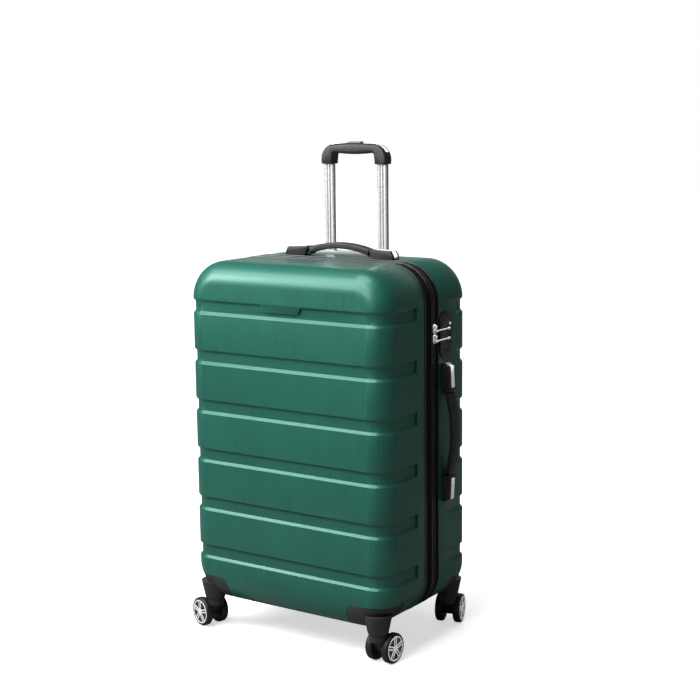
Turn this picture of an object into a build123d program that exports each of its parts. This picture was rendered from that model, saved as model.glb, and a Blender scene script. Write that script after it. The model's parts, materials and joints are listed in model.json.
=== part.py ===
"""Hard-shell suitcase on four twin-wheel casters, with a telescopic trolley handle.

Millimetres. +Z is up and the origin is on the floor under the middle of the case.
-Y is the front, and +X is the side with the lock and the side handle.
"""

from build123d import *
import math
import os

os.makedirs("parts", exist_ok=True)

# Case
HEIGHT = 750.0  # floor to the top of the shells
BASE = 66.0  # floor to the underside of the shells
WIDTH = 470.0
DEPTH = 314.0
WALL = 3.0
CORNER = 75.0  # corner radius of the outline seen from the front
EDGE = 44.0  # rounding of the front and back edges
FRONT_RIM = -19.0  # where the front shell ends
REAR_RIM = 33.0  # where the rear shell starts
ZIP_Y = 15.0  # plane where the two halves part
PARTING = 0.25  # half the gap between the two halves

# Grooves across the shells
GROOVES = 6
GROOVE_TOP = 675.3  # upper edge of the highest groove
GROOVE_PITCH = 99.1
GROOVE_WIDTH = 28.8
GROOVE_DEPTH = 4.5
GROOVE_SLOPE = 5.0  # height of each sloping side
GROOVE_OVERRUN = 0.5  # the cutter's reach past the surface
GROOVE_ROUND = 2.0  # rounding of each groove's long edges
FRONT_GROOVE_END = -45.0
REAR_GROOVE_END = 60.0
PAD_END = 98.0  # smooth pad behind the lock and the side handle
PAD_LOW = 268.0
PAD_HIGH = 690.0

# Band between the shells, from front to rear
FRONT_PIPING = (-19.0, -14.0)
GUSSET_PIPING = (5.0, 10.0)
REAR_PIPING = (29.0, 33.0)
TAPE_INSET = 1.0
TEETH_REACH = 3.2  # each row of teeth, from the parting plane
TEETH_RISE = 0.8
PIPING_RISE = 0.9
CLOTH = 1.6  # thickness of tape and gusset
HINGE_LOW = 152.0  # the zip stops and the cloth hinge runs between these heights
HINGE_HIGH = 664.0

# Lining
LINING_INSET = 8.3
LINING = 1.2
TUNNEL_HALF = 88.0
TUNNEL_Y = 92.0

# Trolley
TUBE_X = 63.8
TUBE_Y = 106.4
INNER_TUBE = (22.0, 11.0)
TUBE_GAP = 0.3
MIDDLE_WALL = 1.0
OUTER_WALL = 1.2
INNER_TOP = 938.0
INNER_LOW = 560.0
MIDDLE_TOP = 758.0
MIDDLE_LOW = 330.0
OUTER_TOP = 744.0
OUTER_LOW = 80.0
GRIP_HALF = 81.0
GRIP_TOP = 974.0
GRIP_LOW = 932.0
GRIP_DEPTH = 26.0
GRIP_ARCH = 7.0  # fall of the grip's top towards its ends
GRIP_UNDER = 955.0

# Casters
STEM_X = 198.0
STEM_Y = 130.0
COLLAR_LOW = 62.5
TRAIL = 20.0
WHEEL_R = 29.5
RIM_R = 24.5
AXLE_R = 3.0
RUNNING = 0.05
WHEEL_IN = 11.0  # inner face of a wheel, from the caster's middle plane
WHEEL_W = 15.0
HUB_IN = 12.0
GUARD_FACE = 0.3
GUARD_BACK = 2.0

# Lock
LOCK_Y = 56.0
LOCK_Z = 610.5
LOCK_FACE = WIDTH / 2 + 4.0


def save(piece, label):
    """Label a finished piece and write its STEP file."""
    piece.label = label
    export_step(piece, f"parts/{label}.step")


def outline(inset):
    """Case outline seen from the front, drawn in by an inset."""
    with Locations((0, (HEIGHT + BASE) / 2)):
        RectangleRounded(WIDTH - 2 * inset, HEIGHT - BASE - 2 * inset, CORNER - inset)


def half_block(side, inset):
    """Solid half of the case outwards from its rim: side is -1 in front and 1 behind."""
    rim = REAR_RIM if side > 0 else FRONT_RIM
    with BuildPart() as block:
        with BuildSketch(Plane.XZ.offset(-rim)):
            outline(inset)
        extrude(amount=rim - side * (DEPTH / 2 - inset))
        fillet(block.faces().sort_by(Axis.Y)[0 if side < 0 else -1].edges(), EDGE - inset)
    return block.part


def groove_height(row):
    """Height of the middle of a groove, counted from the top."""
    return GROOVE_TOP - GROOVE_WIDTH / 2 - row * GROOVE_PITCH


def groove_cutter(side, inset):
    """Everything the grooves take away from one half, for a surface drawn in by an inset."""
    end = REAR_GROOVE_END if side > 0 else FRONT_GROOVE_END
    start = end - side * inset
    flat = GROOVE_WIDTH / 2 - GROOVE_SLOPE + inset / 2
    slope = GROOVE_SLOPE + GROOVE_OVERRUN
    lean = math.degrees(math.atan(GROOVE_DEPTH / GROOVE_SLOPE))
    floor = inset + GROOVE_DEPTH
    with BuildPart() as cutter:
        for row in range(GROOVES):
            z = groove_height(row)
            with Locations((0, start + side * DEPTH / 2, z)):
                Box(2 * WIDTH, DEPTH, 2 * (flat + slope))
        for row in range(GROOVES):
            z = groove_height(row)
            with BuildSketch(Plane.XY.offset(z - flat)):
                RectangleRounded(WIDTH - 2 * floor, DEPTH - 2 * floor, EDGE - floor)
            extrude(amount=2 * flat, mode=Mode.SUBTRACT)
            for way in (1, -1):
                with BuildSketch(Plane.XY.offset(z + way * flat)):
                    RectangleRounded(WIDTH - 2 * floor, DEPTH - 2 * floor, EDGE - floor)
                extrude(amount=way * slope, taper=-lean, mode=Mode.SUBTRACT)
        if side > 0:
            with Locations((WIDTH, (PAD_END - inset) / 2, (PAD_LOW + PAD_HIGH) / 2)):
                Box(2 * WIDTH, PAD_END - inset, PAD_HIGH - PAD_LOW - 2 * inset, mode=Mode.SUBTRACT)
    return cutter.part


def guard_footprint(end, side, gap):
    """Region of one bottom corner that its guard fills: end is -1 or 1 along X."""
    near = 143.0 - gap
    top = 115.0 + gap
    back = 84.0 - gap
    with BuildPart() as region:
        with BuildSketch(Plane.XZ.offset(-side * back)):
            with BuildLine():
                Polyline((end * near, 0), (end * near, top), (end * WIDTH, top), (end * WIDTH, 0), close=True)
            make_face()
            fillet(vertices().group_by(Axis.Y)[-1].sort_by(lambda v: abs(v.X))[0], 20 + gap)
        extrude(amount=-side * DEPTH)
        with BuildSketch(Plane.YZ.offset(end * (near - 1))):
            with BuildLine():
                Polyline(
                    (side * DEPTH, 0),
                    (side * DEPTH, top),
                    (side * back, top),
                    (side * back, top - 14 - gap),
                    (side * (110 - gap), 87),
                    (side * (118 - gap), 0),
                    close=True,
                )
            make_face()
            corner = vertices().group_by(Axis.Y)[-1].sort_by(lambda v: abs(v.X))[0]
            fillet(corner, 12 + gap)
        extrude(amount=end * WIDTH, mode=Mode.INTERSECT)
    return region.part


def collar(end, side, gap):
    """Cone under a corner that carries the caster's stem."""
    with BuildPart() as cone:
        with BuildSketch(Plane.XY.offset(COLLAR_LOW)):
            with Locations((end * STEM_X, side * STEM_Y)):
                Circle(20 + gap)
        with BuildSketch(Plane.XY.offset(COLLAR_LOW + 36)):
            with Locations((end * STEM_X, side * STEM_Y)):
                Circle(27.5 + gap)
        loft()
    return cone.part


def corner_guard(end, side):
    """Plastic guard let into the shell's corner, with the collar and its stem socket."""
    skin = half_block(side, GUARD_FACE) - half_block(side, GUARD_BACK)
    patch = skin & (guard_footprint(end, side, 0) + collar(end, side, 0))
    cone = collar(end, side, 0) - half_block(side, GUARD_FACE)
    socket = Pos(end * STEM_X, side * STEM_Y, COLLAR_LOW + 6) * Cylinder(6 + RUNNING, 12.1)
    return patch + cone - socket


def shell(side):
    """Ribbed shell, open at its rim, with a step for each corner guard."""
    body = half_block(side, 0) - groove_cutter(side, 0)
    for reach in (GROOVE_WIDTH / 2, GROOVE_WIDTH / 2 - GROOVE_SLOPE):
        heights = [groove_height(row) + way * reach for row in range(GROOVES) for way in (-1, 1)]
        long_edges = body.edges().filter_by(
            lambda edge: min(abs(edge.center().Z - height) for height in heights) < 0.02
        )
        body = body.fillet(GROOVE_ROUND, long_edges)
    body -= half_block(side, WALL) - groove_cutter(side, WALL)
    for end in (-1, 1):
        recess = guard_footprint(end, side, 0.8) + collar(end, side, 0.8)
        body -= (half_block(side, -WALL) - half_block(side, GUARD_BACK)) & recess
    return body


def ring(span, rise, thickness):
    """Band that follows the case outline between two y values, standing out by a rise."""
    low, high = span
    with BuildPart() as band:
        with BuildSketch(Plane.XZ.offset(-high)):
            outline(-rise)
            with Locations((0, (HEIGHT + BASE) / 2)):
                RectangleRounded(
                    WIDTH + 2 * (rise - thickness),
                    HEIGHT - BASE + 2 * (rise - thickness),
                    CORNER + rise - thickness,
                    mode=Mode.SUBTRACT,
                )
        extrude(amount=high - low)
    return band.part


def without_hinge_side(band):
    """Take away the stretch of a band that the cloth hinge replaces."""
    return band - Pos(-WIDTH / 2, 0, (HINGE_LOW + HINGE_HIGH) / 2) * Box(
        60, DEPTH, HINGE_HIGH - HINGE_LOW
    )


# Front shell, with the blank emblem tab under its top band
TAB_TOP = GROOVE_TOP + 2
TAB_LOW = 660.5
with BuildPart() as emblem_tab:
    with BuildSketch(Plane.XZ.offset(DEPTH / 2 - GROOVE_DEPTH - 1)):
        with BuildLine():
            Polyline((-50, TAB_TOP), (50, TAB_TOP), (40, TAB_LOW), (-40, TAB_LOW), close=True)
        make_face()
        fillet(vertices().group_by(Axis.Y)[0], 3)
    extrude(amount=GROOVE_DEPTH + 0.8)
save(shell(-1) + emblem_tab.part, "front_shell")

# Rear shell, with windows for the lock and for the trolley housing
LOCK_SIZE = (44.0, 89.0)
LOCK_BACK = WIDTH / 2 - 7.0
LOCK_WINDOW = (38.0, 78.0)
HOUSING_WINDOW = (164.0, 22.0)
with BuildPart() as rear_shell:
    add(shell(1))
    with Locations((WIDTH / 2, LOCK_Y, LOCK_Z)):
        Box(20, *LOCK_WINDOW, mode=Mode.SUBTRACT)
    with Locations((0, TUBE_Y, HEIGHT)):
        Box(*HOUSING_WINDOW, 20, mode=Mode.SUBTRACT)
save(rear_shell.part, "rear_shell")

for end, end_name in ((-1, "left"), (1, "right")):
    for side, side_name in ((-1, "front"), (1, "rear")):
        save(corner_guard(end, side), f"corner_guard_{side_name}_{end_name}")

# Band between the shells
front_piping = ring(FRONT_PIPING, PIPING_RISE, 3.5)
gusset_piping = ring(GUSSET_PIPING, PIPING_RISE, 3.5)
save(Compound(children=[front_piping, gusset_piping]), "front_pipings")
save(ring(REAR_PIPING, PIPING_RISE, 3.5), "rear_piping")
gusset = ring((FRONT_PIPING[1], GUSSET_PIPING[0]), -TAPE_INSET, CLOTH)
front_tape = ring((GUSSET_PIPING[1], ZIP_Y - TEETH_REACH), -TAPE_INSET, CLOTH)
front_bridge = ring((GUSSET_PIPING[0] - 1, GUSSET_PIPING[1] + 1), PIPING_RISE - 3.5, 0.6)
save(gusset + front_bridge + front_tape, "gusset")
save(ring((ZIP_Y + TEETH_REACH, REAR_PIPING[0]), -TAPE_INSET, CLOTH), "rear_zip_tape")
for side, side_name in ((-1, "front"), (1, "rear")):
    span = sorted((ZIP_Y + side * PARTING, ZIP_Y + side * TEETH_REACH))
    save(without_hinge_side(ring(span, TEETH_RISE, 2.8)), f"{side_name}_zip_teeth")
with BuildPart() as hinge_fabric:
    with Locations((-WIDTH / 2 - 0.55, ZIP_Y + 6.6, (HINGE_LOW + HINGE_HIGH) / 2)):
        Box(0.9, 12.0, HINGE_HIGH - HINGE_LOW - 4)
save(hinge_fabric.part, "hinge_fabric")


def lining_block(side, inset):
    """Plain solid half that a lining's surface follows."""
    block = half_block(side, inset)
    if side > 0:
        spare = inset - LINING_INSET
        depth = DEPTH / 2 - TUNNEL_Y + spare
        tunnel = Pos(0, DEPTH / 2 - depth / 2, (HEIGHT + BASE) / 2)
        block -= tunnel * Box(2 * (TUNNEL_HALF + spare), depth, HEIGHT)
    return block


front_lining = lining_block(-1, LINING_INSET) - lining_block(-1, LINING_INSET + LINING)
save(front_lining, "front_lining")
rear_lining = lining_block(1, LINING_INSET) - lining_block(1, LINING_INSET + LINING)
save(rear_lining, "rear_lining")

# Zipped divider that closes the front half
with BuildPart() as divider_panel:
    with BuildSketch(Plane.XZ.offset(-FRONT_RIM - 0.5)):
        outline(LINING_INSET + LINING + 0.5)
    extrude(amount=-1.6)
save(divider_panel.part, "divider_panel")

# Crossed packing straps with their buckle
STRAP_Y = 37.0
STRAP_ANGLE = 45.0
BUCKLE = (58.0, 9.0, 40.0)
STRAP_SPAN = 2 * (WIDTH / 2 - LINING_INSET - LINING - 0.3)
with BuildPart() as packing_straps:
    with BuildSketch(Plane.XZ.offset(-STRAP_Y)):
        for way in (-1, 1):
            with Locations(Location((0, (HEIGHT + BASE) / 2), way * STRAP_ANGLE)):
                Rectangle(STRAP_SPAN * 1.6, 25)
        with Locations((0, (HEIGHT + BASE) / 2)):
            Rectangle(STRAP_SPAN, HEIGHT, mode=Mode.INTERSECT)
            Rectangle(BUCKLE[0], BUCKLE[2], mode=Mode.SUBTRACT)
    extrude(amount=-1.5)
save(packing_straps.part, "packing_straps")
with BuildPart() as strap_buckle:
    with BuildSketch(Plane.XZ.offset(-STRAP_Y + 4)):
        with Locations((0, (HEIGHT + BASE) / 2)):
            RectangleRounded(BUCKLE[0], BUCKLE[2], 8)
    extrude(amount=-BUCKLE[1])
    chamfer(strap_buckle.faces().sort_by(Axis.Y)[0].edges(), 1.5)
save(strap_buckle.part, "strap_buckle")


def tube_pair(size, wall, low, high, radius):
    """Two upright tubes of one stage, with this outer size."""
    with BuildPart() as pair:
        with BuildSketch(Plane.XY.offset(low)):
            with Locations((-TUBE_X, TUBE_Y), (TUBE_X, TUBE_Y)):
                RectangleRounded(*size, radius)
                RectangleRounded(size[0] - 2 * wall, size[1] - 2 * wall, radius - wall, mode=Mode.SUBTRACT)
        extrude(amount=high - low)
    return pair


def grown(size, amount):
    """A tube size with this much more on every side."""
    return (size[0] + 2 * amount, size[1] + 2 * amount)


# Trolley, from the fixed stage to the grip
middle_size = grown(INNER_TUBE, TUBE_GAP + MIDDLE_WALL)
middle_tubes = tube_pair(middle_size, MIDDLE_WALL, MIDDLE_LOW, MIDDLE_TOP, 3.6)
save(middle_tubes.part, "trolley_middle_tubes")
outer_size = grown(middle_size, TUBE_GAP + OUTER_WALL)
save(tube_pair(outer_size, OUTER_WALL, OUTER_LOW, OUTER_TOP, 4.8).part, "trolley_outer_tubes")
with BuildPart() as inner_tubes:
    add(tube_pair(INNER_TUBE, 1.6, INNER_LOW, INNER_TOP, 3.0).part)
    for way in (-1, 1):
        with Locations(
            (-TUBE_X, TUBE_Y + way * INNER_TUBE[1] / 2, (INNER_LOW + INNER_TOP) / 2),
            (TUBE_X, TUBE_Y + way * INNER_TUBE[1] / 2, (INNER_LOW + INNER_TOP) / 2),
        ):
            Box(4, 1.4, INNER_TOP, mode=Mode.SUBTRACT)
save(inner_tubes.part, "trolley_inner_tubes")

HOUSING_TOP = 756.0
with BuildPart() as top_housing:
    with BuildSketch(Plane.XY.offset(HEIGHT)):
        with Locations((0, TUBE_Y)):
            SlotOverall(196, 25)
    extrude(amount=HOUSING_TOP - HEIGHT)
    chamfer(top_housing.faces().sort_by(Axis.Z)[-1].edges(), 1.5)
    with Locations((0, TUBE_Y, (OUTER_TOP + HEIGHT) / 2)):
        Box(*HOUSING_WINDOW, HEIGHT - OUTER_TOP)
    with BuildSketch(Plane.XY.offset(OUTER_TOP)):
        with Locations((-TUBE_X, TUBE_Y), (TUBE_X, TUBE_Y)):
            RectangleRounded(*grown(middle_size, TUBE_GAP), 3.9)
    extrude(amount=20, mode=Mode.SUBTRACT)
save(top_housing.part, "trolley_top_housing")
with BuildPart() as base_bracket:
    with Locations((0, TUBE_Y - 3.7, (BASE + WALL + OUTER_LOW) / 2)):
        Box(164, 20, OUTER_LOW - BASE - WALL)
save(base_bracket.part, "trolley_base_bracket")

BUTTON = (30.0, 12.0)
GRIP_SHOULDER = 31.0
BUTTON_RISE = 2.6
BUTTON_TRAVEL = 2.5
with BuildSketch() as grip_profile:
    with BuildLine():
        top = ThreePointArc(
            (-GRIP_HALF - 2.2, GRIP_TOP - GRIP_ARCH), (0, GRIP_TOP), (GRIP_HALF + 2.2, GRIP_TOP - GRIP_ARCH)
        )
        Polyline(top @ 1, (77.5, GRIP_LOW), (50.5, GRIP_LOW), (48, GRIP_UNDER))
        belly = ThreePointArc((48, GRIP_UNDER), (0, GRIP_UNDER - 3.5), (-48, GRIP_UNDER))
        Polyline(belly @ 1, (-50.5, GRIP_LOW), (-77.5, GRIP_LOW), top @ 0)
    make_face()
    fillet(vertices().filter_by(lambda vertex: vertex.Y > GRIP_UNDER + 5), GRIP_SHOULDER)
    fillet(vertices().filter_by(lambda vertex: abs(vertex.Y - GRIP_UNDER) < 0.1), 6)
grip_plane = Plane.XZ.offset(-TUBE_Y)
with BuildPart() as trolley_grip:
    with BuildSketch(grip_plane):
        add(grip_profile.sketch)
    extrude(amount=GRIP_DEPTH / 2, both=True)
    rims = trolley_grip.faces().filter_by(Axis.Y).edges()
    fillet(rims.filter_by(lambda edge: edge.center().Z > GRIP_LOW + 0.1), 6)
    with Locations((0, TUBE_Y, GRIP_TOP)):
        Box(BUTTON[0] + 0.6, BUTTON[1] + 0.6, 20, mode=Mode.SUBTRACT)
    with Locations((-TUBE_X, TUBE_Y, 935), (TUBE_X, TUBE_Y, 935)):
        Box(*INNER_TUBE, 6, mode=Mode.SUBTRACT)
save(trolley_grip.part, "trolley_grip")
with BuildPart() as trolley_button:
    with Locations((0, TUBE_Y, GRIP_TOP + BUTTON_RISE - 4.5)):
        Box(*BUTTON, 9)
    fillet(trolley_button.faces().sort_by(Axis.Z)[-1].edges(), 1.2)
    with Locations((0, TUBE_Y, GRIP_TOP + BUTTON_RISE)):
        with GridLocations(4, 0, 6, 1):
            Box(1.2, BUTTON[1], 1.2, mode=Mode.SUBTRACT)
save(trolley_button.part, "trolley_button")
with BuildPart() as grip_trim:
    with BuildSketch(grip_plane):
        add(grip_profile.sketch)
        offset(amount=0.8)
        add(grip_profile.sketch, mode=Mode.SUBTRACT)
        with Locations((-51, 968), (51, 968)):
            Rectangle(62, 24, mode=Mode.INTERSECT)
    extrude(amount=4.5, both=True)
save(grip_trim.part - trolley_grip.part, "trolley_grip_trim")


def handle_plane(centre, along, width_way):
    """Sketch plane of a carry handle: x runs along it and y stands out of the case."""
    return Plane(origin=centre, x_dir=along, z_dir=width_way)


CAP_WIDTH = 24.0
CAP_TOP = 19.5
CAP_LONG = 56.0
SLOT_WIDTH = 18.0
SLOT_TOP = 16.0  # room for the tab's 8 mm lift
TAB_WIDTH = 17.0
GRIP_WIDTH = 22.0
GRIP_RISE = 29.0  # top of the arch above the case


def handle_caps(plane, half):
    """Both end caps, each hollow so that the grip's tab can rise in it."""
    with BuildPart() as caps:
        for way in (-1, 1):
            with BuildSketch(plane):
                with BuildLine():
                    Polyline(
                        (way * (half - 46), 0),
                        (way * (half - 46), 2),
                        (way * (half - CAP_LONG), CAP_TOP),
                        (way * (half - 5), CAP_TOP - 2.5),
                        (way * half, 8),
                        (way * half, 0),
                        close=True,
                    )
                make_face()
            extrude(amount=CAP_WIDTH / 2, both=True)
        corners = caps.edges().filter_by(Axis(plane.origin, plane.z_dir))
        fillet(corners.filter_by(lambda edge: plane.to_local_coords(edge.center()).Y > 5), 2.5)
        for way in (-1, 1):
            with BuildSketch(plane):
                with Locations((way * (half - 34), (SLOT_TOP + 1) / 2)):
                    Rectangle(56, SLOT_TOP - 1)
            extrude(amount=SLOT_WIDTH / 2, both=True, mode=Mode.SUBTRACT)
    return caps.part


def handle_grip(plane, half):
    """Thick arched strap that ends at the caps, with a flat tab into each of them."""
    end = half - CAP_LONG - 0.7
    with BuildPart() as grip:
        with BuildSketch(plane):
            with BuildLine():
                top = ThreePointArc((-end, CAP_TOP - 1), (0, GRIP_RISE), (end, CAP_TOP - 1))
                Line(top @ 1, (end, 5.2))
                under = ThreePointArc((end, 5.2), (0, GRIP_RISE - 12), (-end, 5.2))
                Line(under @ 1, top @ 0)
            make_face()
        extrude(amount=GRIP_WIDTH / 2, both=True)
        fillet(grip.edges().filter_by(lambda edge: edge.length > end), 3)
        with BuildSketch(plane):
            for way in (-1, 1):
                with Locations((way * (end + 22), 5.5)):
                    Rectangle(50, 4)
        extrude(amount=TAB_WIDTH / 2, both=True)
    return grip.part


def handle_trim(plane, half):
    """Metal strips on the caps, folded over their outer ends."""
    with BuildPart() as trim:
        for way in (-1, 1):
            with BuildSketch(plane):
                with BuildLine():
                    Polyline(
                        (way * (half - 46), CAP_TOP - 1.2),
                        (way * (half - 46), CAP_TOP + 0.2),
                        (way * (half - 4.4), CAP_TOP - 1.8),
                        (way * (half + 1.0), 8),
                        (way * (half + 1.0), 3),
                        (way * half, 3),
                        (way * half, 8),
                        (way * (half - 5), CAP_TOP - 2.5),
                        close=True,
                    )
                make_face()
            extrude(amount=6, both=True)
    return trim.part


top_plane = handle_plane((0, 50, HEIGHT), (1, 0, 0), (0, -1, 0))
side_plane = handle_plane((WIDTH / 2, 55, 419.5), (0, 0, 1), (0, 1, 0))
trims = []
for plane, half, name in ((top_plane, 128.0, "top"), (side_plane, 135.5, "side")):
    caps = handle_caps(plane, half)
    save(caps, f"{name}_handle_caps")
    save(handle_grip(plane, half), f"{name}_handle_grip")
    trims.append(handle_trim(plane, half) - caps)
save(Compound(children=trims), "handle_trims")

# Lock, with its key cylinder and three dials
KEY_Y = 70.0
KEY_Z = 631.0
KEY_R = 3.0
DIAL_R = 5.0
DIAL_X = LOCK_FACE + 0.4 - DIAL_R
DIAL_Z = 582.0
DIAL_YS = (46.0, 54.0, 62.0)
DIAL_W = 5.0
SHAFT_R = 1.0
with BuildPart() as lock_housing:
    with BuildSketch(Plane.YZ.offset(WIDTH / 2)):
        with Locations((LOCK_Y, LOCK_Z)):
            RectangleRounded(*LOCK_SIZE, 20)
    extrude(amount=LOCK_FACE - WIDTH / 2)
    chamfer(lock_housing.faces().sort_by(Axis.X)[-1].edges(), 1.2)
    with Locations(((LOCK_BACK + WIDTH / 2) / 2, LOCK_Y, LOCK_Z)):
        Box(WIDTH / 2 - LOCK_BACK, *LOCK_WINDOW)
    with Locations((LOCK_FACE, LOCK_Y + 4, LOCK_Z + 2)):
        Box(3, 26, 32, mode=Mode.SUBTRACT)
    with BuildSketch(Plane.YZ.offset(LOCK_BACK + 1)):
        with Locations((KEY_Y, KEY_Z)):
            Circle(KEY_R + RUNNING)
    extrude(amount=20, mode=Mode.SUBTRACT)
    for dial_y in DIAL_YS:
        with BuildSketch(Plane.XZ.offset(-dial_y)):
            with Locations((DIAL_X, DIAL_Z)):
                Circle(DIAL_R + 0.3)
                Circle(SHAFT_R, mode=Mode.SUBTRACT)
        extrude(amount=DIAL_W / 2 + 0.3, both=True, mode=Mode.SUBTRACT)
save(lock_housing.part, "lock_housing")
with BuildPart() as key_cylinder:
    with BuildSketch(Plane.YZ.offset(LOCK_BACK + 1)):
        with Locations((KEY_Y, KEY_Z)):
            Circle(KEY_R)
    extrude(amount=LOCK_FACE + 0.2 - LOCK_BACK - 1)
    with Locations((LOCK_FACE, KEY_Y, KEY_Z)):
        Box(4, 0.8, 3.6, mode=Mode.SUBTRACT)
save(key_cylinder.part, "key_cylinder")
for number, dial_y in enumerate(DIAL_YS, 1):
    with BuildPart() as dial:
        with BuildSketch(Plane.XZ.offset(-dial_y)):
            with Locations((DIAL_X, DIAL_Z)):
                Circle(DIAL_R)
                Circle(SHAFT_R + RUNNING, mode=Mode.SUBTRACT)
                with PolarLocations(DIAL_R, 10):
                    Circle(0.5, mode=Mode.SUBTRACT)
        extrude(amount=DIAL_W / 2, both=True)
    save(dial.part, f"lock_dial_{number}")

# Zip sliders, each with a bridge, and the pulls that hang on them
SLIDER = (12.0, 18.3)
SLIDER_IN = WIDTH / 2 + 1.1
BRIDGE_X = WIDTH / 2 + 5.95
PULL_END = 67.0
for name, slider_z in (("upper", 626.4), ("lower", 607.1)):
    with BuildPart() as slider:
        with BuildSketch(Plane.YZ.offset(SLIDER_IN)):
            with Locations((ZIP_Y, slider_z)):
                RectangleRounded(*SLIDER, 5)
        extrude(amount=1.2)
        with Locations((BRIDGE_X - 1.5, ZIP_Y, slider_z)):
            Box(4.5, 3, 14)
        with Locations((BRIDGE_X - 2.2, ZIP_Y, slider_z)):
            Box(2.9, 3, 11, mode=Mode.SUBTRACT)
    save(slider.part, f"zip_slider_{name}")
    ring_z = slider_z - 3.8
    with BuildPart() as pull:
        with BuildSketch(Plane.XY.offset(ring_z - 1.4)):
            with Locations((BRIDGE_X, ZIP_Y)):
                Circle(3.3)
            with Locations((BRIDGE_X - 0.45, (ZIP_Y + PULL_END + 2) / 2)):
                Rectangle(1.4, PULL_END - ZIP_Y - 2)
            with Locations((BRIDGE_X, ZIP_Y)):
                Circle(2.0, mode=Mode.SUBTRACT)
        extrude(amount=2.8)
        with BuildSketch(Plane.YZ.offset(BRIDGE_X - 1.15)):
            with Locations((PULL_END - 4, ring_z)):
                SlotOverall(10, 5)
        extrude(amount=1.4)
    save(pull.part, f"zip_pull_{name}")

# Casters: where each one trails, in degrees about +Z from +X
CASTERS = (
    ("front_right", 1, -1, 87.0),
    ("front_left", -1, -1, 163.0),
    ("rear_right", 1, 1, 106.0),
    ("rear_left", -1, 1, 10.0),
)
for name, end, side, heading in CASTERS:
    trail = Vector(math.cos(math.radians(heading)), math.sin(math.radians(heading)), 0)
    axle_way = Vector(trail.Y, -trail.X, 0)
    stem = Vector(end * STEM_X, side * STEM_Y, 0)
    middle = Plane(origin=stem + trail * TRAIL + Vector(0, 0, WHEEL_R), x_dir=trail, z_dir=axle_way)
    head_low = 46.0
    with BuildPart() as fork:
        with BuildSketch(Plane.XY.offset(head_low)):
            with Locations((stem.X, stem.Y)):
                Circle(17)
        extrude(amount=COLLAR_LOW - 0.5 - head_low)
        for way in (-1, 1):
            with BuildSketch(middle.offset(way * (WHEEL_IN - 0.6))):
                Circle(WHEEL_R + 0.8)
            extrude(amount=way * 20, mode=Mode.SUBTRACT)
        with BuildSketch(middle):
            with BuildLine():
                Polyline(
                    (-TRAIL - 16, COLLAR_LOW - 0.5 - WHEEL_R),
                    (-TRAIL + 16, COLLAR_LOW - 0.5 - WHEEL_R),
                    (14, 14),
                    (14, -8),
                    (0, -15),
                    (-14, -8),
                    close=True,
                )
            make_face()
            fillet(vertices().sort_by(Axis.Y)[0:3], 8)
        extrude(amount=WHEEL_IN - 0.6, both=True)
        with BuildSketch(middle):
            Circle(AXLE_R)
        extrude(amount=WHEEL_IN + WHEEL_W - 3, both=True)
        with BuildSketch(Plane.XY.offset(COLLAR_LOW - 1)):
            with Locations((stem.X, stem.Y)):
                Circle(6)
        extrude(amount=12)
    save(fork.part, f"caster_{name}_fork")
    for way, wheel in ((-1, "a"), (1, "b")):
        face = middle.offset(way * WHEEL_IN)
        with BuildPart() as tyre:
            with BuildSketch(face):
                Circle(WHEEL_R)
                Circle(RIM_R, mode=Mode.SUBTRACT)
            extrude(amount=way * WHEEL_W)
            fillet(tyre.edges().filter_by(GeomType.CIRCLE).filter_by(lambda e: e.radius > RIM_R + 1), 4)
        save(tyre.part, f"caster_{name}_tyre_{wheel}")
        with BuildPart() as rim:
            with BuildSketch(middle.offset(way * HUB_IN)):
                Circle(RIM_R)
                Circle(AXLE_R + RUNNING, mode=Mode.SUBTRACT)
            extrude(amount=way * (WHEEL_IN + WHEEL_W - 0.4 - HUB_IN))
            with BuildSketch(middle.offset(way * (HUB_IN + 4))):
                with PolarLocations(0, 5):
                    with Locations((14.5, 0)):
                        Trapezoid(9, 11, 68, rotation=-90)
                with PolarLocations(0, 5, start_angle=36):
                    with Locations((14.5, 0)):
                        Rectangle(11, 2.2)
            extrude(amount=way * 20, mode=Mode.SUBTRACT)
        save(rim.part, f"caster_{name}_rim_{wheel}")
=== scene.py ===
import json
import math

import bmesh
import bpy
from mathutils import Matrix, Vector, noise


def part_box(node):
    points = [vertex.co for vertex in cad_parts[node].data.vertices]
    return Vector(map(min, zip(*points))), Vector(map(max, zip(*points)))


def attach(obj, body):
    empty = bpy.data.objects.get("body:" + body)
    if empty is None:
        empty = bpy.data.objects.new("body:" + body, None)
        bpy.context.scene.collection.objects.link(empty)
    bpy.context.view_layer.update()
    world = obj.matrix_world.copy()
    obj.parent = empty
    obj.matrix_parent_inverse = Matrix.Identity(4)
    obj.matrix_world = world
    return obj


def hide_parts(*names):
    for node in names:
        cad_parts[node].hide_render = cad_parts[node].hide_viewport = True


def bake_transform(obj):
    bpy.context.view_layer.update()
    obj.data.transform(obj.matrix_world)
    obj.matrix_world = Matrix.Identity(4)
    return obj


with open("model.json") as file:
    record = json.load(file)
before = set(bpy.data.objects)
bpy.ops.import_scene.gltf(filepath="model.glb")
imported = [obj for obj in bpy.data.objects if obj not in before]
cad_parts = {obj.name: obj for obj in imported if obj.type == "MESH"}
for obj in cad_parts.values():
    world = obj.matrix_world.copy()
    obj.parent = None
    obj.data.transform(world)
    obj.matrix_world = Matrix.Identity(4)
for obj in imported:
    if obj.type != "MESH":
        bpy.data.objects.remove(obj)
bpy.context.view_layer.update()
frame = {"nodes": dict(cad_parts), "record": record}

# Sizes in metres, worked out from the frame
SHELL_LOW, SHELL_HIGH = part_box("front_shell")
HALF_WIDTH = SHELL_HIGH.x
CASE_BASE = SHELL_LOW.z
CASE_TOP = SHELL_HIGH.z
MID_HEIGHT = (CASE_BASE + CASE_TOP) / 2
CORNER = 0.075
ZIP_Y = (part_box("front_zip_teeth")[1].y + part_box("rear_zip_teeth")[0].y) / 2
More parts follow.
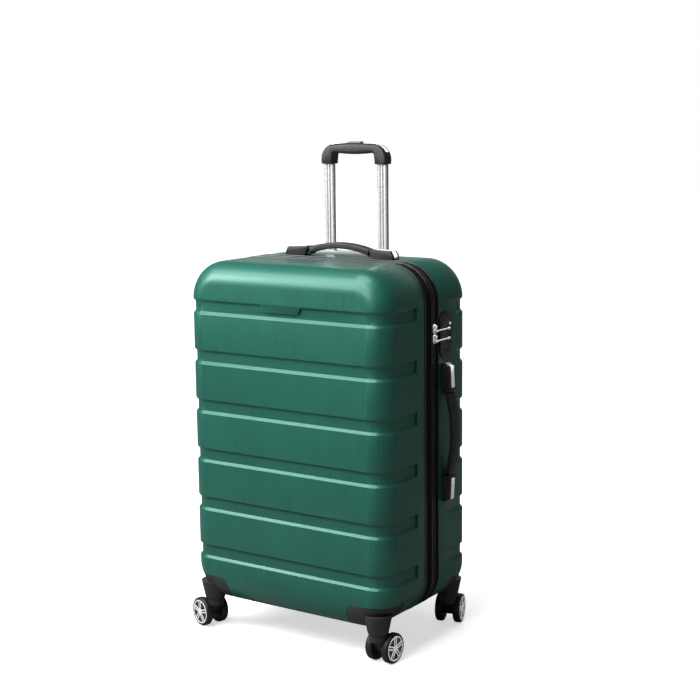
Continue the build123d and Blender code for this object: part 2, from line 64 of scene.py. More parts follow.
EDGE_RADIUS = 0.044
TUNNEL_SIDE = 0.092
TUNNEL_HEIGHT = 0.058
STRAP_WIDTH = 0.025
HINGE_FRONT = 0.0102
TOOTH_PITCH = 0.0024
RING_R = 0.0229


# ---------------------------------------------------------------- scene tools


def pick(obj):
    """Make one object the only selected and active one."""
    bpy.ops.object.select_all(action="DESELECT")
    obj.select_set(True)
    bpy.context.view_layer.objects.active = obj


def settle(obj, name):
    """Name a finished piece and put its place into its mesh."""
    pick(obj)
    bpy.ops.object.transform_apply(location=True, rotation=True, scale=True)
    obj.name = name
    obj.data.name = name
    return obj


def smooth(obj, angle=32.0):
    """Smooth shading, with a crease wherever faces meet at more than an angle."""
    pick(obj)
    bpy.ops.object.shade_smooth_by_angle(angle=math.radians(angle))


def modifier(obj, kind, **settings):
    """Add a modifier with these settings and apply it."""
    pick(obj)
    added = obj.modifiers.new(kind.title(), kind)
    for key, value in settings.items():
        setattr(added, key, value)
    bpy.ops.object.modifier_apply(modifier=added.name)


def round_edges(obj, width, angle):
    """Round the edges whose faces meet at more than an angle."""
    modifier(
        obj, "BEVEL", width=width, segments=2, limit_method="ANGLE", angle_limit=math.radians(angle)
    )


def dress(obj, finish, body, nodes=()):
    """Give a piece its material and body, and hide the frame nodes it stands for."""
    obj.data.materials.clear()
    obj.data.materials.append(finish)
    if body:
        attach(obj, body)
    if nodes:
        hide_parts(*nodes)
    return obj


# ------------------------------------------------------------- shader groups


def socket(group, name, way, kind="NodeSocketFloat", value=None):
    """Add one named input or output to a node group."""
    made = group.interface.new_socket(name=name, in_out=way, socket_type=kind)
    if value is not None:
        made.default_value = value


def new_group(name, inputs, outputs):
    """Start a shader node group and return its tree, entry node and exit node."""
    group = bpy.data.node_groups.new(name, "ShaderNodeTree")
    for label, kind, value in inputs:
        socket(group, label, "INPUT", kind, value)
    for label, kind in outputs:
        socket(group, label, "OUTPUT", kind)
    return group, group.nodes.new("NodeGroupInput"), group.nodes.new("NodeGroupOutput")


def node(tree, kind, inputs=None, **settings):
    """Add a node, set its properties, and set or link its inputs."""
    made = tree.nodes.new(kind)
    for key, value in settings.items():
        setattr(made, key, value)
    for key, value in (inputs or {}).items():
        if isinstance(value, bpy.types.NodeSocket):
            tree.links.new(value, made.inputs[key])
        else:
            made.inputs[key].default_value = value
    return made


def maths(tree, operation, first, second=0.0, third=0.0):
    """One Math node's output."""
    made = node(tree, "ShaderNodeMath", {0: first, 1: second, 2: third}, operation=operation)
    return made.outputs[0]


def spread_group():
    """Broad uneven mask that breaks up colour and gloss."""
    group, entry, leave = new_group(
        "broad_unevenness",
        [("Vector", "NodeSocketVector", None), ("Scale", "NodeSocketFloat", 6.0)],
        [("Mask", "NodeSocketFloat")],
    )
    noise = node(
        group,
        "ShaderNodeTexNoise",
        {"Vector": entry.outputs["Vector"], "Scale": entry.outputs["Scale"], "Detail": 5.0},
    )
    ramp = node(group, "ShaderNodeMapRange", {0: noise.outputs["Fac"], 1: 0.3, 2: 0.7})
    group.links.new(ramp.outputs[0], leave.inputs["Mask"])
    return group


def grain_group():
    """Fine surface grain as a mask and a bumped normal."""
    group, entry, leave = new_group(
        "fine_grain",
        [
            ("Vector", "NodeSocketVector", None),
            ("Scale", "NodeSocketFloat", 1200.0),
            ("Height", "NodeSocketFloat", 0.00003),
            ("Normal", "NodeSocketVector", None),
        ],
        [("Mask", "NodeSocketFloat"), ("Normal", "NodeSocketVector")],
    )
    noise = node(
        group,
        "ShaderNodeTexNoise",
        {"Vector": entry.outputs["Vector"], "Scale": entry.outputs["Scale"], "Detail": 3.0},
    )
    bump = node(
        group,
        "ShaderNodeBump",
        {"Height": noise.outputs["Fac"], "Distance": entry.outputs["Height"], "Strength": 1.0},
    )
    group.links.new(noise.outputs["Fac"], leave.inputs["Mask"])
    group.links.new(bump.outputs["Normal"], leave.inputs["Normal"])
    return group


def wear_group():
    """Mask of the outward edges, broken up by noise."""
    group, entry, leave = new_group(
        "edge_wear",
        [("Vector", "NodeSocketVector", None), ("Radius", "NodeSocketFloat", 0.001)],
        [("Mask", "NodeSocketFloat")],
    )
    bevel = node(group, "ShaderNodeBevel", {"Radius": entry.outputs["Radius"]}, samples=4)
    geometry = node(group, "ShaderNodeNewGeometry")
    dot = node(
        group,
        "ShaderNodeVectorMath",
        {0: bevel.outputs["Normal"], 1: geometry.outputs["Normal"]},
        operation="DOT_PRODUCT",
    )
    edge = maths(group, "SUBTRACT", 1.0, dot.outputs["Value"])
    noise = node(group, "ShaderNodeTexNoise", {"Vector": entry.outputs["Vector"], "Scale": 160.0})
    broken = maths(group, "MULTIPLY", edge, noise.outputs["Fac"])
    ramp = node(group, "ShaderNodeMapRange", {0: broken, 1: 0.02, 2: 0.16})
    group.links.new(ramp.outputs[0], leave.inputs["Mask"])
    return group


def weave_group():
    """Plain weave on two directions given as X and Y of the vector, in threads per metre."""
    group, entry, leave = new_group(
        "plain_weave",
        [
            ("Vector", "NodeSocketVector", None),
            ("Threads", "NodeSocketFloat", 1500.0),
            ("Height", "NodeSocketFloat", 0.00012),
        ],
        [("Mask", "NodeSocketFloat"), ("Normal", "NodeSocketVector")],
    )
    split = node(group, "ShaderNodeSeparateXYZ", {0: entry.outputs["Vector"]})
    turn = maths(group, "MULTIPLY", entry.outputs["Threads"], math.pi)
    warp = maths(group, "SINE", maths(group, "MULTIPLY", split.outputs["X"], turn))
    weft = maths(group, "SINE", maths(group, "MULTIPLY", split.outputs["Y"], turn))
    over = maths(group, "MULTIPLY", warp, weft)
    warp_body = maths(group, "ABSOLUTE", warp)
    weft_body = maths(group, "ABSOLUTE", weft)
    choose = maths(group, "GREATER_THAN", over, 0.0)
    mixed = node(group, "ShaderNodeMix", {0: choose, 2: warp_body, 3: weft_body})
    bump = node(
        group,
        "ShaderNodeBump",
        {"Height": mixed.outputs[0], "Distance": entry.outputs["Height"], "Strength": 0.8},
    )
    group.links.new(mixed.outputs[0], leave.inputs["Mask"])
    group.links.new(bump.outputs["Normal"], leave.inputs["Normal"])
    return group


GROUPS = {
    "spread": spread_group(),
    "grain": grain_group(),
    "wear": wear_group(),
    "weave": weave_group(),
}


def use(tree, name, inputs):
    """Place a shared group in a material."""
    return node(tree, "ShaderNodeGroup", inputs, node_tree=GROUPS[name])


def start(name, **fixed):
    """New material with one Principled shader, some of its sockets set."""
    made = bpy.data.materials.new(name)
    made.use_nodes = True
    tree = made.node_tree
    shader = tree.nodes["Principled BSDF"]
    for key, value in fixed.items():
        shader.inputs[key.replace("_", " ")].default_value = value
    where = node(tree, "ShaderNodeTexCoord").outputs["Object"]
    return made, tree, shader, where


def colour_mix(tree, mask, first, second):
    """Colour that runs from first to second by a mask."""
    mix = node(tree, "ShaderNodeMix", {0: mask}, data_type="RGBA")
    for index, value in ((6, first), (7, second)):
        if isinstance(value, bpy.types.NodeSocket):
            tree.links.new(value, mix.inputs[index])
        else:
            mix.inputs[index].default_value = (*value, 1.0)
    return mix.outputs[2]


def value_range(tree, mask, low, high):
    """Mask from 0 to 1 turned into a value from low to high."""
    return node(tree, "ShaderNodeMapRange", {0: mask, 3: low, 4: high}).outputs[0]


def moulded(name, dark, light, rough, grain_scale=1400.0, grain_height=0.00004, **fixed):
    """Moulded plastic or plated metal: uneven colour, fine grain and slightly paler worn edges."""
    made, tree, shader, where = start(name, **fixed)
    broad = use(tree, "spread", {"Vector": where, "Scale": 9.0}).outputs["Mask"]
    grain = use(tree, "grain", {"Vector": where, "Scale": grain_scale, "Height": grain_height})
    wear = use(tree, "wear", {"Vector": where, "Radius": 0.0008}).outputs["Mask"]
    base = colour_mix(tree, broad, dark, light)
    paler = tuple(min(1.0, channel * 1.5 + 0.01) for channel in light)
    tree.links.new(colour_mix(tree, wear, base, paler), shader.inputs["Base Color"])
    gloss = value_range(tree, grain.outputs["Mask"], rough[0], rough[1])
    tree.links.new(gloss, shader.inputs["Roughness"])
    tree.links.new(grain.outputs["Normal"], shader.inputs["Normal"])
    return made


def tube_finish():
    """Drawn aluminium in its own pale colour, with painted shade darkening it at the edges that turn away
    from the eye.
    """
    made, tree, shader, where = start("tube_drawn_aluminium", Metallic=0.5)
    drawn = node(tree, "ShaderNodeMapping", {"Vector": where, "Scale": (1.0, 1.0, 0.01)}).outputs[0]
    grain = use(tree, "grain", {"Vector": drawn, "Scale": 900.0, "Height": 0.00002})
    # Painted shade: the colour runs to near black where the surface turns away from the eye.
    edge = node(tree, "ShaderNodeLayerWeight", {"Blend": 0.5}).outputs["Facing"]
    rim = node(tree, "ShaderNodeMapRange", {0: edge, 1: 0.3, 2: 0.75}).outputs[0]
    base = colour_mix(tree, grain.outputs["Mask"], (0.78, 0.78, 0.79), (0.86, 0.86, 0.87))
    tree.links.new(colour_mix(tree, rim, base, (0.05, 0.05, 0.05)), shader.inputs["Base Color"])
    tree.links.new(value_range(tree, grain.outputs["Mask"], 0.2, 0.32), shader.inputs["Roughness"])
    tree.links.new(grain.outputs["Normal"], shader.inputs["Normal"])
    return made


def shell_finish():
    """Satin green shell: hairlines run up the case, and painted shade darkens its creases."""
    made, tree, shader, where = start(
        "shell_green_satin", Metallic=0.35, Coat_Weight=0.3, Coat_Roughness=0.2, Specular_IOR_Level=0.45
    )
    upright = node(tree, "ShaderNodeMapping", {"Vector": where, "Scale": (1.0, 1.0, 0.012)}).outputs[0]
    broad = use(tree, "spread", {"Vector": where, "Scale": 9.0}).outputs["Mask"]
    grain = use(tree, "grain", {"Vector": upright, "Scale": 900.0, "Height": 0.00008})
    hair = node(tree, "ShaderNodeMapRange", {0: grain.outputs["Mask"], 1: 0.3, 2: 0.7}).outputs[0]
    uneven = maths(tree, "MULTIPLY_ADD", hair, 0.65, maths(tree, "MULTIPLY", broad, 0.35))
    base = colour_mix(tree, uneven, (0.008, 0.096, 0.068), (0.014, 0.140, 0.100))
    # Painted shade: ambient occlusion darkens the green to near black in creases and at groove edges.
    shade = node(tree, "ShaderNodeAmbientOcclusion", {"Distance": 0.007}, samples=6).outputs["AO"]
    crease = node(tree, "ShaderNodeMapRange", {0: shade, 1: 0.35, 2: 0.92, 3: 1.0, 4: 0.0}).outputs[0]
    colour_with_painted_shade = colour_mix(tree, crease, base, (0.001, 0.012, 0.009))
    wear = use(tree, "wear", {"Vector": where, "Radius": 0.0008}).outputs["Mask"]
    tree.links.new(colour_mix(tree, wear, colour_with_painted_shade, (0.03, 0.22, 0.16)), shader.inputs["Base Color"])
    tree.links.new(value_range(tree, grain.outputs["Mask"], 0.36, 0.5), shader.inputs["Roughness"])
    tree.links.new(grain.outputs["Normal"], shader.inputs["Normal"])
    return made


def cloth(name, dark, light, threads, along, across, rough=0.85, sheen=0.25, **fixed):
    """Woven cloth whose thread directions are given by weights on X, Y and Z."""
    made, tree, shader, where = start(name, Roughness=rough, Sheen_Weight=sheen, **fixed)
    first = node(tree, "ShaderNodeVectorMath", {0: where, 1: along}, operation="DOT_PRODUCT")
    second = node(tree, "ShaderNodeVectorMath", {0: where, 1: across}, operation="DOT_PRODUCT")
    plane = node(tree, "ShaderNodeCombineXYZ", {0: first.outputs["Value"], 1: second.outputs["Value"]})
    weave = use(tree, "weave", {"Vector": plane.outputs[0], "Threads": threads})
    broad = use(tree, "spread", {"Vector": where, "Scale": 14.0}).outputs["Mask"]
    threads_colour = colour_mix(tree, weave.outputs["Mask"], dark, light)
    tint = tuple(channel * 0.8 for channel in dark)
    faded = value_range(tree, broad, 0.0, 0.35)
    tree.links.new(colour_mix(tree, faded, threads_colour, tint), shader.inputs["Base Color"])
    tree.links.new(weave.outputs["Normal"], shader.inputs["Normal"])
    return made


BLACK = (0.006, 0.006, 0.0065)
CHARCOAL = (0.011, 0.011, 0.0115)
PLATED = {"grain_scale": 1500.0, "grain_height": 0.00001}
FINISH = {
    "shell_green": shell_finish(),
    "tube_aluminium": tube_finish(),
    "guard_black": moulded(
        "guard_black_moulded", (0.014, 0.014, 0.015), (0.022, 0.022, 0.023), (0.42, 0.6)
    ),
    "piping_black": moulded(
        "piping_black_satin", (0.003, 0.003, 0.003), (0.006, 0.006, 0.006), (0.16, 0.24), 900.0, 0.00001
    ),
    "handle_black": moulded(
        "handle_charcoal",
        CHARCOAL,
        (0.017, 0.017, 0.018),
        (0.34, 0.46),
        2200.0,
        0.00005,
        Specular_IOR_Level=0.4,
    ),
    "lock_black": moulded("lock_black_gloss", BLACK, (0.016, 0.016, 0.017), (0.2, 0.32), 1800.0, 0.00001),
    "tyre_black": moulded(
        "tyre_black_rubber", (0.003, 0.003, 0.003), (0.009, 0.009, 0.009), (0.42, 0.58), 900.0, 0.00004
    ),
    "housing_grey": moulded("housing_pale_grey", (0.36, 0.36, 0.37), (0.42, 0.42, 0.43), (0.35, 0.45)),
    "button_grey": moulded("button_grey_ribbed", (0.16, 0.16, 0.165), (0.2, 0.2, 0.205), (0.4, 0.5)),
    "zip_teeth": moulded("zip_coil_black", BLACK, (0.02, 0.02, 0.02), (0.3, 0.42)),
    "rim_black": moulded("rim_black_recess", BLACK, (0.012, 0.012, 0.012), (0.45, 0.6)),
    "trim_silver": moulded(
        "trim_satin_silver", (0.68, 0.68, 0.69), (0.76, 0.76, 0.77), (0.2, 0.3), Metallic=0.6, **PLATED
    ),
    "zip_metal": moulded(
        "zip_nickel", (0.7, 0.69, 0.68), (0.8, 0.79, 0.78), (0.14, 0.24), Metallic=0.7, **PLATED
    ),
    "rim_silver": moulded(
        "rim_bright_silver", (0.74, 0.74, 0.75), (0.84, 0.84, 0.85), (0.22, 0.32), Metallic=0.4, **PLATED
    ),
    "zip_cloth": cloth(
        "zip_tape_woven",
        (0.002, 0.002, 0.002),
        (0.007, 0.007, 0.0075),
        900.0,
        (1, 0, 1),
        (0, 1, 0),
        0.9,
        0.0,
        Specular_IOR_Level=0.2,
    ),
    "lining_cloth": cloth(
        "lining_grey_woven", (0.10, 0.10, 0.107), (0.17, 0.17, 0.18), 1100.0, (1, 1, 0), (0, 0, 1), 0.7
    ),
    "strap_web": cloth("strap_elastic_web", BLACK, (0.045, 0.045, 0.047), 500.0, (1, 0, 1), (1, 0, -1)),
}


# --------------------------------------------------- hard pieces of the frame


def merged_copy(name, label):
    """Copy of a frame node with its loose triangles joined and flat faces made whole."""
    source = frame["nodes"][name]
    obj = bpy.data.objects.new(label, source.data.copy())
    bpy.context.scene.collection.objects.link(obj)
    pick(obj)
    bpy.ops.object.mode_set(mode="EDIT")
    bpy.ops.mesh.select_all(action="SELECT")
    bpy.ops.mesh.remove_doubles(threshold=0.000002)
    bpy.ops.mesh.dissolve_limited(angle_limit=math.radians(0.4))
    bpy.ops.object.mode_set(mode="OBJECT")
    return obj


EDGE_ROUND = {
    "front_shell": 0.0007,
    "rear_shell": 0.0007,
    "corner_guard": 0.0006,
    "_rim_": 0.00035,
    "fork": 0.0008,
    "handle_grip": 0.0008,
    "handle_caps": 0.0012,
    "handle_trims": 0.0003,
    "lock_housing": 0.0004,
    "key_cylinder": 0.0002,
    "lock_dial": 0.0003,
    "trolley_grip_trim": 0.0003,
    "trolley_top_housing": 0.0006,
    "trolley_base": 0.0006,
    "trolley_button": 0.0002,
    "trolley_grip": 0.0006,
    "zip_slider": 0.0004,
    "zip_pull": 0.0003,
    "strap_buckle": 0.0008,
    "piping": 0.0010,
}
SOFT = (
    "gusset",
    "rear_zip_tape",
    "hinge_fabric",
    "front_lining",
    "rear_lining",
    "divider_panel",
    "packing_straps",
)
CHAINS = ("front_zip_teeth", "rear_zip_teeth")


def body_of_node(name):
    """Name of the body that a frame node belongs to."""
    for body, members in frame["record"]["behaviour"]["bodies"].items():
        if name in members:
            return body
    return None


def edge_round(name):
    """How far a node's edges are rounded."""
    for part, width in EDGE_ROUND.items():
        if part in name:
            return width
    return 0.0


def wheel_axle(rim):
    """Direction of a wheel's axle, away from its twin."""
    body = body_of_node(rim)
    joints = frame["record"]["behaviour"]["joints"]
    axis = next(Vector(joint["axis"]) for joint in joints if joint["child"] == body)
    middle = sum(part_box(rim), Vector()) / 2
    twin = rim[:-1] + ("b" if rim.endswith("a") else "a")
    return axis if (middle - sum(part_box(twin), Vector()) / 2).dot(axis) > 0 else -axis


def placed(obj, place):
    """Give a new primitive its turn and position through a matrix."""
    obj.matrix_basis = place @ obj.matrix_basis
    return obj


def wheel_spokes(rim):
    """Silver face of a wheel: outer ring, hub and five pairs of spokes over a black rim."""
    axle = wheel_axle(rim)
    low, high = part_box(rim)
    source = frame["nodes"][rim]
    face = max(axle.dot(source.matrix_world @ vertex.co) for vertex in source.data.vertices)
    middle = (low + high) / 2
    middle += axle * (face - axle.dot(middle))
    place = Matrix.Translation(middle) @ axle.to_track_quat("Z", "Y").to_matrix().to_4x4()
    bpy.ops.object.select_all(action="DESELECT")
    bpy.ops.mesh.primitive_torus_add(
        major_segments=56, minor_segments=8, major_radius=RING_R, minor_radius=0.0014
    )
    ring = bpy.context.active_object
    ring.scale = (1, 1, 0.45)
    made = [ring]
    bpy.ops.mesh.primitive_cylinder_add(vertices=32, radius=0.0058, depth=0.0014)
    made.append(bpy.context.active_object)
    for index in range(10):
        pair = index // 2
        side = 1 if index % 2 else -1
        angle = math.radians(72 * pair + 90)
        bpy.ops.mesh.primitive_cube_add(size=1)
        bar = bpy.context.active_object
        bar.scale = (RING_R - 0.003, 0.0026, 0.0012)
        splay = Matrix.Rotation(angle + side * 0.045, 4, "Z")
        shift = Matrix.Translation((RING_R / 2 + 0.0015, side * 0.0021, 0))
        made.append(placed(bar, splay @ shift))
    for obj in made:
        placed(obj, place)
        obj.select_set(True)
    bpy.context.view_layer.objects.active = ring
    bpy.ops.object.join()
    obj = settle(ring, rim + "_spokes")
    round_edges(obj, 0.00025, 40)
    smooth(obj)
    dress(obj, FINISH["rim_silver"], body_of_node(rim), [rim])
    METALS.objects.link(obj)


def hard_pieces():
    """Every hard node again, with joined faces, rounded edges and smooth curves."""
    slots = {entry["node"]: entry["material_slot"] for entry in frame["record"]["subparts"]}
    for name in frame["nodes"]:
        if name in SOFT or name in CHAINS:
            continue
        obj = merged_copy(name, name + "_finished")
        width = edge_round(name)
        if width:
            round_edges(obj, width, 33)
        smooth(obj)
        dress(obj, FINISH[slots[name]], body_of_node(name), [name])
        if slots[name] in METAL_SLOTS:
            METALS.objects.link(obj)
        if "_rim_" in name:
            obj.data.materials[0] = FINISH["rim_black"]
            wheel_spokes(name)


# ------------------------------------------------------------ band and cloth


def band_sheet(name, y_low, y_high, rise, rows, thickness):
    """Cloth band round the case outline, from one y to another."""
    height = CASE_TOP - CASE_BASE + 2 * rise
    width = 2 * (HALF_WIDTH + rise)
    bpy.ops.object.select_all(action="DESELECT")
    bpy.ops.mesh.primitive_plane_add(size=1, location=(0, y_low, MID_HEIGHT), rotation=(math.pi / 2, 0, 0))
    obj = bpy.context.active_object
    obj.scale = (width, height, 1)
    obj = settle(obj, name)
    bpy.ops.object.mode_set(mode="EDIT")
    bpy.ops.mesh.select_all(action="SELECT")
    bpy.ops.mesh.delete(type="ONLY_FACE")
    bpy.ops.mesh.select_all(action="SELECT")
    bpy.ops.mesh.bevel(offset=CORNER + rise, segments=14, affect="VERTICES")
    bpy.ops.mesh.select_all(action="SELECT")
    for _ in range(rows):
        step = (0, (y_high - y_low) / rows, 0)
        bpy.ops.mesh.extrude_region_move(TRANSFORM_OT_translate={"value": step})
    bpy.ops.mesh.select_all(action="SELECT")
    bpy.ops.mesh.normals_make_consistent(inside=False)
    bpy.ops.object.mode_set(mode="OBJECT")
    modifier(obj, "SOLIDIFY", thickness=thickness, offset=-1.0)
    return obj


def band_cloths():
    """The gusset in front of the zip and the tape behind it."""
    for node_name, name, rows, body in (
        ("gusset", "gusset_cloth", 6, "front_half"),
        ("rear_zip_tape", "rear_tape_cloth", 4, "rear_half"),
    ):
        low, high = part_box(node_name)
        rise = high.x - HALF_WIDTH
        obj = band_sheet(name, low.y, high.y, rise, rows, 0.0014)
        smooth(obj, 40)
        dress(obj, FINISH["zip_cloth"], body, [node_name])


def surface_area(obj):
    """Area of one side of a sheet that has no thickness yet."""
    return sum(face.area for face in obj.data.polygons)


def thicken(obj, thickness, offset=0.0):
    """Give a cloth surface its thickness."""
    modifier(obj, "SOLIDIFY", thickness=thickness, offset=offset)
    smooth(obj, 60)


def flat_grid(name, width, height, columns, rows):
    """Upright grid centred on the case, its face to -Y."""
    bpy.ops.object.select_all(action="DESELECT")
    bpy.ops.mesh.primitive_grid_add(
        x_subdivisions=columns, y_subdivisions=rows, size=1, rotation=(math.pi / 2, 0, 0)
    )
    obj = bpy.context.active_object
    obj.scale = (width, height, 1)
    return settle(obj, name)


def hinge_cloth():
    """Strip of cloth that joins the halves on the hinge side."""
    low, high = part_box("hinge_fabric")
    span = high.y - HINGE_FRONT
    obj = flat_grid("hinge_cloth", span, high.z - low.z, 16, 24)
    turn = Matrix.Rotation(-math.pi / 2, 4, "Z")
    middle = Vector((low.x + 0.0004, HINGE_FRONT + span / 2, (low.z + high.z) / 2))
    obj.data.transform(Matrix.Translation(middle) @ turn)
    thicken(obj, 0.0007)
    dress(obj, FINISH["zip_cloth"], None, ["hinge_fabric"])
    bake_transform(obj)


def wrinkle(place, size):
    """Slack of the lining at a place: broad waves with finer creases along them."""
    broad = noise.noise(place * 9.0)
    crease = noise.noise(Vector((place.x * 34.0 + broad * 2.0, place.y * 20.0, place.z * 13.0)))
    return size * (0.6 * broad + 0.5 * crease - 0.5 * abs(crease))


def lined_half(name, body, node_name, back_y, rim_y, slack):
    """Cloth let into one half of the case as an open box, with its corners eased in."""
    low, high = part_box(node_name)
    inset = HALF_WIDTH - high.x
    corner = CORNER - inset
    edge = EDGE_RADIUS - inset
    core_w = (high.x - low.x) / 2 - corner
    core_h = (high.z - low.z) / 2 - corner
    depth = abs(back_y - rim_y)
    way = 1 if back_y > rim_y else -1
    rise = max(depth - edge, 0.0)
    reach = corner - edge + edge * math.pi / 2 + rise if depth > edge else corner
    obj = flat_grid(name, 2 * (core_w + reach), 2 * (core_h + reach), 84, 116)
    for vertex in obj.data.vertices:
        u, v = vertex.co.x, vertex.co.z
        over = Vector((max(abs(u) - core_w, 0.0), 0, max(abs(v) - core_h, 0.0)))
        run = max(over.x, over.z)
        heading = over.normalized() if run > 0 else Vector((0, 0, 0))
        heading.x = math.copysign(heading.x, u)
        heading.z = math.copysign(heading.z, v)
        flat_run = corner - edge if depth > edge else corner
        turn = min(max(run - flat_run, 0.0) / edge, math.pi / 2)
        out = min(run, flat_run) + edge * math.sin(turn)
        back = edge * (1 - math.cos(turn)) + max(run - flat_run - edge * math.pi / 2, 0.0)
        start_x = math.copysign(min(abs(u), core_w), u)
        start_z = math.copysign(min(abs(v), core_h), v)
        place = Vector((start_x, back_y - way * back, (low.z + high.z) / 2 + start_z)) + heading * out
        inward = Vector((0, -way * math.cos(turn), 0)) - heading * math.sin(turn)
        free = min(1.0, (reach - run) / 0.03)
        place += inward * (abs(wrinkle(place, slack)) + 0.0004) * free
        if node_name == "rear_lining":
            cover = min(1.0, max(0.0, (TUNNEL_SIDE + 0.012 - abs(place.x)) / 0.012))
            place.y = min(place.y, back_y - cover * TUNNEL_HEIGHT - 0.5 * wrinkle(place, slack))
        vertex.co = place
    thicken(obj, 0.0008)
    dress(obj, FINISH["lining_cloth"], body, [node_name])
    return obj


def linings():
    """Lining of both halves, and the divider across the front one."""
    low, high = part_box("front_lining")
    lined_half("front_lining_cloth", "front_half", "front_lining", low.y + 0.001, high.y, 0.006)
    low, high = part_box("rear_lining")
    lined_half("rear_lining_cloth", "rear_half", "rear_lining", high.y - 0.001, low.y, 0.006)
    low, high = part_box("divider_panel")
    lined_half("divider_cloth", "front_half", "divider_panel", high.y - 0.0008, high.y - 0.0008, 0.003)


def strap(name, tilt, start_x, end_x):
    """Webbing from the buckle to a side wall, cut to the wall's line."""
    low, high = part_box("packing_straps")
    obj = flat_grid(name, end_x - start_x, STRAP_WIDTH, 40, 6)
    lean = math.tan(math.radians(tilt))
    along = math.copysign(1.0, start_x + end_x)
    near, far = sorted((abs(start_x), abs(end_x)))
    across = STRAP_WIDTH / math.cos(math.radians(tilt))
    for vertex in obj.data.vertices:
        x = vertex.co.x + (start_x + end_x) / 2
        z = MID_HEIGHT + x * lean + vertex.co.z / STRAP_WIDTH * across
        pull = (abs(x) - near) / (far - near)
        y = (low.y + high.y) / 2 + 0.0012 * math.sin(pull * math.pi)
        vertex.co = Vector((x, y, z))
    area = surface_area(obj)
    thicken(obj, 0.0014)
    dress(obj, FINISH["strap_web"], "rear_half", ())
    return obj


def straps():
    """Crossed straps in the rear half."""
    low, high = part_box("packing_straps")
    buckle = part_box("strap_buckle")[1].x - 0.004
    made = [
        strap("packing_strap_1", 45, buckle, high.x),
        strap("packing_strap_2", -45, buckle, high.x),
        strap("packing_strap_3", 45, low.x, -buckle),
        strap("packing_strap_4", -45, low.x, -buckle),
    ]
    for obj in made:
        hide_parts("packing_straps")


def outline_point(distance, rise):
    """Place and outward direction on the case outline, counted from low on the hinge side."""
    half_w = HALF_WIDTH + rise
    half_h = (CASE_TOP - CASE_BASE) / 2 + rise
    radius = CORNER + rise
    side = 2 * (half_h - radius)
    flat = 2 * (half_w - radius)
    arc = math.pi / 2 * radius
    legs = [
        (True, arc, 180),
        (False, flat, 270),
        (True, arc, 270),
        (False, side, 0),
        (True, arc, 0),
        (False, flat, 90),
        (True, arc, 90),
    ]
    x, z = -half_w, MID_HEIGHT - half_h + radius
    for curved, length, heading in legs:
        part = min(distance, length)
        angle = math.radians(heading)
        if curved:
            cx = x - radius * math.cos(angle)
            cz = z - radius * math.sin(angle)
            angle += part / radius
            x = cx + radius * math.cos(angle)
            z = cz + radius * math.sin(angle)
        else:
            x -= part * math.sin(angle)
            z += part * math.cos(angle)
        distance -= part
        if distance <= 0:
            break
    return Vector((x, 0, z)), Vector((math.cos(angle), 0, math.sin(angle)))


def one_tooth():
    """One coil of the zip, lying across the chain."""
    bpy.ops.object.select_all(action="DESELECT")
    bpy.ops.mesh.primitive_cube_add(size=1)
    obj = bpy.context.active_object
    obj.scale = (0.0013, 0.0042, 0.0016)
    obj = settle(obj, "zip_tooth")
    modifier(obj, "BEVEL", width=0.0004, segments=2)
    return obj


def zip_chain(name, way, body, node_name):
    """Row of teeth round three sides of the case."""
    pattern = one_tooth()
    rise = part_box(node_name)[1].x - HALF_WIDTH
    mesh = bmesh.new()
    straight = 4 * (HALF_WIDTH - CORNER) + CASE_TOP - CASE_BASE - 2 * CORNER
    length = straight + 2 * math.pi * (CORNER + rise)
    count = int(length / TOOTH_PITCH)
    for index in range(count):
        spot, out = outline_point((index + 0.5 * (way > 0)) * TOOTH_PITCH, rise - 0.0008)
        along = Vector((0, 1, 0)).cross(out)
        turn = Matrix((along, Vector((0, 1, 0)), out)).transposed().to_4x4()
        place = Matrix.Translation(spot + Vector((0, ZIP_Y + way * 0.0013, 0))) @ turn
        before = len(mesh.verts)
        mesh.from_mesh(pattern.data)
        mesh.verts.ensure_lookup_table()
        bmesh.ops.transform(mesh, matrix=place, verts=mesh.verts[before:])
    data = bpy.data.meshes.new(name)
    mesh.to_mesh(data)
    mesh.free()
    bpy.data.objects.remove(pattern)
    obj = bpy.data.objects.new(name, data)
    bpy.context.scene.collection.objects.link(obj)
    smooth(obj)
    dress(obj, FINISH["zip_teeth"], body, [node_name])


# ------------------------------------------------------------ stage and view


def floor():
    """White floor that shows soft contact shadows and throws little light back."""
    bpy.ops.object.select_all(action="DESELECT")
    bpy.ops.mesh.primitive_plane_add(size=30, location=(0, 0, 0))
    obj = settle(bpy.context.active_object, "floor")
    made, tree, shader, where = start("floor_white", Roughness=0.95)
    broad = use(tree, "spread", {"Vector": where, "Scale": 1.5}).outputs["Mask"]
    pale = colour_mix(tree, broad, (0.9, 0.9, 0.9), (0.92, 0.92, 0.92))
    path = node(tree, "ShaderNodeLightPath").outputs["Is Camera Ray"]
    tree.links.new(colour_mix(tree, path, (0.2, 0.2, 0.2), pale), shader.inputs["Base Color"])
    shader.inputs["Emission Color"].default_value = (1.0, 1.0, 1.0, 1.0)
    tree.links.new(value_range(tree, path, 0.0, 0.6), shader.inputs["Emission Strength"])
    obj.data.materials.append(made)


def softbox(name, place, size, power, target=(0, 0, 0.42)):
    """Square area light aimed at the case."""
    lamp = bpy.data.lights.new(name, "AREA")
    lamp.shape = "RECTANGLE"
    lamp.size, lamp.size_y = size
    lamp.energy = power
    obj = bpy.data.objects.new(name, lamp)
    bpy.context.scene.collection.objects.link(obj)
    obj.location = place
    obj.rotation_euler = (Vector(target) - Vector(place)).to_track_quat("-Z", "Y").to_euler()


def sun(name, aim, strength, spread):
    """Soft distant light that shines along an aim."""
    lamp = bpy.data.lights.new(name, "SUN")
    lamp.energy = strength
    lamp.angle = math.radians(spread)
    obj = bpy.data.objects.new(name, lamp)
    bpy.context.scene.collection.objects.link(obj)
    obj.rotation_euler = Vector(aim).to_track_quat("-Z", "Y").to_euler()


def metal_light(name, aim, strength):
    """Wide light for the bright metal only, as a studio's white cards would give."""
    sun(name, aim, strength, 110)
    bpy.data.objects[name].light_linking.receiver_collection = METALS


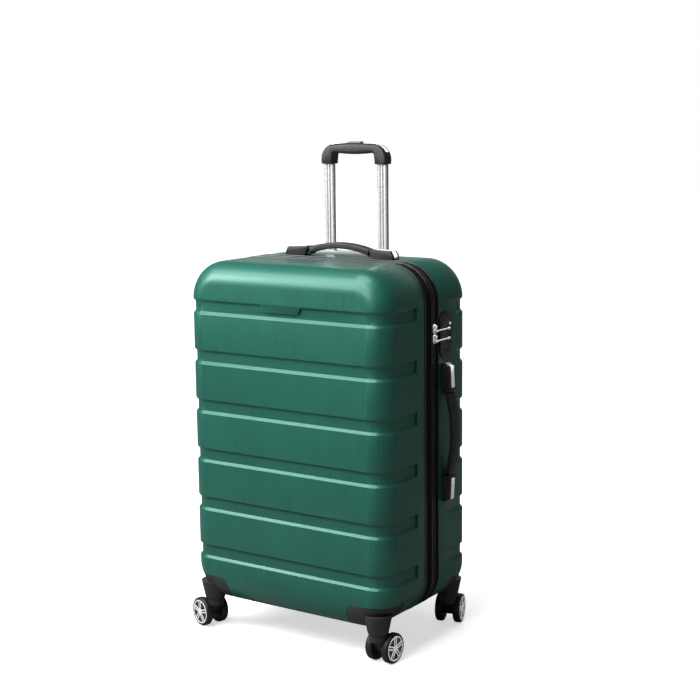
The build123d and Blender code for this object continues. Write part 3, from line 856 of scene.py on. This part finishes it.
METALS = bpy.data.collections.new("metal_pieces")
METAL_SLOTS = ("rim_silver", "trim_silver", "zip_metal")


def studio():
    """White surroundings: the floor is lit from above, the case by soft boxes over it."""
    world = bpy.data.worlds.new("studio")
    bpy.context.scene.world = world
    world.use_nodes = True
    tree = world.node_tree
    tree.nodes.clear()
    path = node(tree, "ShaderNodeLightPath")
    soft = node(tree, "ShaderNodeBackground", {"Color": (1, 1, 1, 1), "Strength": AMBIENT})
    seen = node(tree, "ShaderNodeBackground", {"Color": (1, 1, 1, 1), "Strength": 1.0})
    mix = node(
        tree,
        "ShaderNodeMixShader",
        {0: path.outputs["Is Camera Ray"], 1: soft.outputs[0], 2: seen.outputs[0]},
    )
    out = node(tree, "ShaderNodeOutputWorld")
    tree.links.new(mix.outputs[0], out.inputs["Surface"])
    sun("top_light", (0.15, 0.3, -1.0), 2.2, 40)
    softbox("overhead", (-0.4, -1.0, 1.45), (1.9, 1.0), 34, (0, 0, 0.7))
    softbox("key", (-1.5, -1.3, 1.4), (0.5, 0.9), 16, (0, 0, 0.6))
    softbox("backdrop", (-1.2, 2.6, 1.3), (3.6, 1.6), 7, (0, 0, 0.7))
    metal_light("card_right", (-0.8, -0.5, -0.3), 4.2)
    metal_light("card_left", (0.75, 0.5, -0.3), 2.6)


AMBIENT = 0.13
CAMERA_PLACE = (1.637, -2.329, 1.030)
CAMERA_YAW = 0.5974
CAMERA_PITCH = 0.1607
CAMERA_ROLL = -0.0116
LENS = 74.75


def camera():
    """Camera at standing height, turned to the front and the lock side."""
    data = bpy.data.cameras.new("camera")
    data.lens = LENS
    data.sensor_width = 36.0
    obj = bpy.data.objects.new("camera", data)
    bpy.context.scene.collection.objects.link(obj)
    look = Matrix.Rotation(CAMERA_YAW, 4, "Z") @ Matrix.Rotation(math.pi / 2 - CAMERA_PITCH, 4, "X")
    obj.matrix_world = Matrix.Translation(CAMERA_PLACE) @ look @ Matrix.Rotation(CAMERA_ROLL, 4, "Z")
    bpy.context.scene.camera = obj
    bpy.context.scene.view_settings.view_transform = "Standard"


camera()
studio()
floor()
hard_pieces()
band_cloths()
hinge_cloth()
linings()
straps()
zip_chain("front_zip_chain", -1, "front_half", "front_zip_teeth")
zip_chain("rear_zip_chain", 1, "rear_half", "rear_zip_teeth")

bpy.context.view_layer.update()
